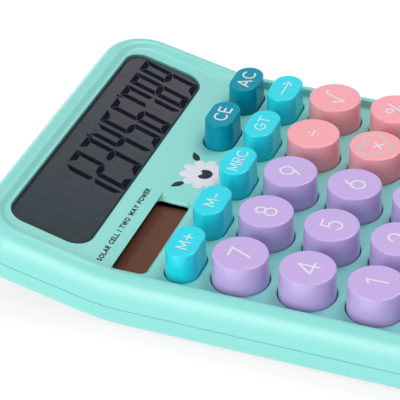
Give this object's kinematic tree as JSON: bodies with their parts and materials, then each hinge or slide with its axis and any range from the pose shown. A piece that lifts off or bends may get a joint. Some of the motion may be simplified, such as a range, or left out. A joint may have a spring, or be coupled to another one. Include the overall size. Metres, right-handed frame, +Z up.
{
  "type": "desk calculator",
  "caption": "Desk calculator with a bent two-piece case, round and oval sprung keys, a tilted smoked display window, a solar cell and a coin cell bay.",
  "frame": {"origin": "on the table, under the middle of the case's outline", "axes": "+Y towards the display end, +X to the user's right, +Z up, away from the table"},
  "size_m": [0.1238, 0.1647, 0.0264],
  "materials": {
    "case_mint": "satin moulded plastic, fine texture, soft sheen",
    "key_lilac": "satin moulded plastic",
    "key_pink": "satin moulded plastic",
    "key_cyan": "satin moulded plastic",
    "key_teal": "satin moulded plastic",
    "window_smoke": "clear smoked acrylic, polished",
    "lcd_glass": "grey liquid crystal glass with a matt polariser",
    "black_plastic": "matt",
    "rubber_black": "matt",
    "board_green": "satin solder mask on glass fibre",
    "ribbon_film": "amber film",
    "solar_brown": "glassy brown amorphous silicon with fine lines",
    "silicone": "translucent grey silicone",
    "epoxy_black": "cured resin",
    "steel": "plain bright",
    "brass": "nickel-flashed spring brass",
    "wire_red": "PVC insulation",
    "wire_black": "PVC insulation"
  },
  "bodies": {
    "case": {"upper_case": "case_mint", "lower_case": "case_mint", "display_window": "window_smoke", "lcd_glass": "lcd_glass", "lcd_frame": "black_plastic", "lcd_contact_strip": "rubber_black", "display_board": "board_green", "display_ribbon": "ribbon_film", "solar_cell": "solar_brown", "main_board": "board_green", "keypad_mat": "silicone", "controller_chip": "epoxy_black", "buffer_capacitor": "epoxy_black", "battery_cell": "steel", "battery_contact_minus": "brass", "battery_contact_plus": "brass", "solar_lead_red": "wire_red", "solar_lead_black": "wire_black", "battery_lead_red": "wire_red", "battery_lead_black": "wire_black", "foot_front_left": "rubber_black", "foot_front_right": "rubber_black", "foot_rear_left": "rubber_black", "foot_rear_right": "rubber_black", "case_screw_1": "steel", "case_screw_2": "steel", "case_screw_3": "steel", "case_screw_4": "steel", "case_screw_5": "steel", "case_screw_6": "steel"},
    "key_7": {"key_7": "key_lilac"},
    "key_8": {"key_8": "key_lilac"},
    "key_9": {"key_9": "key_lilac"},
    "key_divide": {"key_divide": "key_pink"},
    "key_root": {"key_root": "key_pink"},
    "key_4": {"key_4": "key_lilac"},
    "key_5": {"key_5": "key_lilac"},
    "key_6": {"key_6": "key_lilac"},
    "key_multiply": {"key_multiply": "key_pink"},
    "key_percent": {"key_percent": "key_pink"},
    "key_1": {"key_1": "key_lilac"},
    "key_2": {"key_2": "key_lilac"},
    "key_3": {"key_3": "key_lilac"},
    "key_minus": {"key_minus": "key_pink"},
    "key_sign": {"key_sign": "key_pink"},
    "key_0": {"key_0": "key_lilac"},
    "key_00": {"key_00": "key_lilac"},
    "key_point": {"key_point": "key_lilac"},
    "key_plus": {"key_plus": "key_pink"},
    "key_equals": {"key_equals": "key_pink"},
    "key_memory_plus": {"key_memory_plus": "key_cyan"},
    "key_memory_minus": {"key_memory_minus": "key_cyan"},
    "key_memory_recall": {"key_memory_recall": "key_cyan"},
    "key_grand_total": {"key_grand_total": "key_cyan"},
    "key_backspace": {"key_backspace": "key_cyan"},
    "key_clear_entry": {"key_clear_entry": "key_teal"},
    "key_all_clear": {"key_all_clear": "key_teal"},
    "battery_door": {"battery_door": "case_mint"}
  },
  "joints": [
    {"name": "key_7_press", "type": "slide", "parent": "case", "child": "key_7", "axis": [0, 0, -1], "range_m": [0, 0.0022], "stiffness_N_per_m": 180, "springref_m": -0.0015, "deforming": ["keypad_mat"]},
    {"name": "key_8_press", "type": "slide", "parent": "case", "child": "key_8", "axis": [0, 0, -1], "range_m": [0, 0.0022], "stiffness_N_per_m": 180, "springref_m": -0.0015, "deforming": ["keypad_mat"]},
    {"name": "key_9_press", "type": "slide", "parent": "case", "child": "key_9", "axis": [0, 0, -1], "range_m": [0, 0.0022], "stiffness_N_per_m": 180, "springref_m": -0.0015, "deforming": ["keypad_mat"]},
    {"name": "key_divide_press", "type": "slide", "parent": "case", "child": "key_divide", "axis": [0, 0, -1], "range_m": [0, 0.0022], "stiffness_N_per_m": 180, "springref_m": -0.0015, "deforming": ["keypad_mat"]},
    {"name": "key_root_press", "type": "slide", "parent": "case", "child": "key_root", "axis": [0, 0, -1], "range_m": [0, 0.0022], "stiffness_N_per_m": 180, "springref_m": -0.0015, "deforming": ["keypad_mat"]},
    {"name": "key_4_press", "type": "slide", "parent": "case", "child": "key_4", "axis": [0, 0, -1], "range_m": [0, 0.0022], "stiffness_N_per_m": 180, "springref_m": -0.0015, "deforming": ["keypad_mat"]},
    {"name": "key_5_press", "type": "slide", "parent": "case", "child": "key_5", "axis": [0, 0, -1], "range_m": [0, 0.0022], "stiffness_N_per_m": 180, "springref_m": -0.0015, "deforming": ["keypad_mat"]},
    {"name": "key_6_press", "type": "slide", "parent": "case", "child": "key_6", "axis": [0, 0, -1], "range_m": [0, 0.0022], "stiffness_N_per_m": 180, "springref_m": -0.0015, "deforming": ["keypad_mat"]},
    {"name": "key_multiply_press", "type": "slide", "parent": "case", "child": "key_multiply", "axis": [0, 0, -1], "range_m": [0, 0.0022], "stiffness_N_per_m": 180, "springref_m": -0.0015, "deforming": ["keypad_mat"]},
    {"name": "key_percent_press", "type": "slide", "parent": "case", "child": "key_percent", "axis": [0, 0, -1], "range_m": [0, 0.0022], "stiffness_N_per_m": 180, "springref_m": -0.0015, "deforming": ["keypad_mat"]},
    {"name": "key_1_press", "type": "slide", "parent": "case", "child": "key_1", "axis": [0, 0, -1], "range_m": [0, 0.0022], "stiffness_N_per_m": 180, "springref_m": -0.0015, "deforming": ["keypad_mat"]},
    {"name": "key_2_press", "type": "slide", "parent": "case", "child": "key_2", "axis": [0, 0, -1], "range_m": [0, 0.0022], "stiffness_N_per_m": 180, "springref_m": -0.0015, "deforming": ["keypad_mat"]},
    {"name": "key_3_press", "type": "slide", "parent": "case", "child": "key_3", "axis": [0, 0, -1], "range_m": [0, 0.0022], "stiffness_N_per_m": 180, "springref_m": -0.0015, "deforming": ["keypad_mat"]},
    {"name": "key_minus_press", "type": "slide", "parent": "case", "child": "key_minus", "axis": [0, 0, -1], "range_m": [0, 0.0022], "stiffness_N_per_m": 180, "springref_m": -0.0015, "deforming": ["keypad_mat"]},
    {"name": "key_sign_press", "type": "slide", "parent": "case", "child": "key_sign", "axis": [0, 0, -1], "range_m": [0, 0.0022], "stiffness_N_per_m": 180, "springref_m": -0.0015, "deforming": ["keypad_mat"]},
    {"name": "key_0_press", "type": "slide", "parent": "case", "child": "key_0", "axis": [0, 0, -1], "range_m": [0, 0.0022], "stiffness_N_per_m": 180, "springref_m": -0.0015, "deforming": ["keypad_mat"]},
    {"name": "key_00_press", "type": "slide", "parent": "case", "child": "key_00", "axis": [0, 0, -1], "range_m": [0, 0.0022], "stiffness_N_per_m": 180, "springref_m": -0.0015, "deforming": ["keypad_mat"]},
    {"name": "key_point_press", "type": "slide", "parent": "case", "child": "key_point", "axis": [0, 0, -1], "range_m": [0, 0.0022], "stiffness_N_per_m": 180, "springref_m": -0.0015, "deforming": ["keypad_mat"]},
    {"name": "key_plus_press", "type": "slide", "parent": "case", "child": "key_plus", "axis": [0, 0, -1], "range_m": [0, 0.0022], "stiffness_N_per_m": 180, "springref_m": -0.0015, "deforming": ["keypad_mat"]},
    {"name": "key_equals_press", "type": "slide", "parent": "case", "child": "key_equals", "axis": [0, 0, -1], "range_m": [0, 0.0022], "stiffness_N_per_m": 180, "springref_m": -0.0015, "deforming": ["keypad_mat"]},
    {"name": "key_memory_plus_press", "type": "slide", "parent": "case", "child": "key_memory_plus", "axis": [0, 0, -1], "range_m": [0, 0.0022], "stiffness_N_per_m": 180, "springref_m": -0.0015, "deforming": ["keypad_mat"]},
    {"name": "key_memory_minus_press", "type": "slide", "parent": "case", "child": "key_memory_minus", "axis": [0, 0, -1], "range_m": [0, 0.0022], "stiffness_N_per_m": 180, "springref_m": -0.0015, "deforming": ["keypad_mat"]},
    {"name": "key_memory_recall_press", "type": "slide", "parent": "case", "child": "key_memory_recall", "axis": [0, 0, -1], "range_m": [0, 0.0022], "stiffness_N_per_m": 180, "springref_m": -0.0015, "deforming": ["keypad_mat"]},
    {"name": "key_grand_total_press", "type": "slide", "parent": "case", "child": "key_grand_total", "axis": [0, 0, -1], "range_m": [0, 0.0022], "stiffness_N_per_m": 180, "springref_m": -0.0015, "deforming": ["keypad_mat"]},
    {"name": "key_backspace_press", "type": "slide", "parent": "case", "child": "key_backspace", "axis": [0, 0, -1], "range_m": [0, 0.0022], "stiffness_N_per_m": 180, "springref_m": -0.0015, "deforming": ["keypad_mat"]},
    {"name": "key_clear_entry_press", "type": "slide", "parent": "case", "child": "key_clear_entry", "axis": [0, 0, -1], "range_m": [0, 0.0022], "stiffness_N_per_m": 180, "springref_m": -0.0015, "deforming": ["keypad_mat"]},
    {"name": "key_all_clear_press", "type": "slide", "parent": "case", "child": "key_all_clear", "axis": [0, 0, -1], "range_m": [0, 0.0022], "stiffness_N_per_m": 180, "springref_m": -0.0015, "deforming": ["keypad_mat"]},
    {"name": "battery_door_hinge", "type": "hinge", "parent": "case", "child": "battery_door", "pos_m": [0.028, 0.05639, 0.00542], "axis": [-1, 0, 0], "range_deg": [0, 60]}
  ]
}
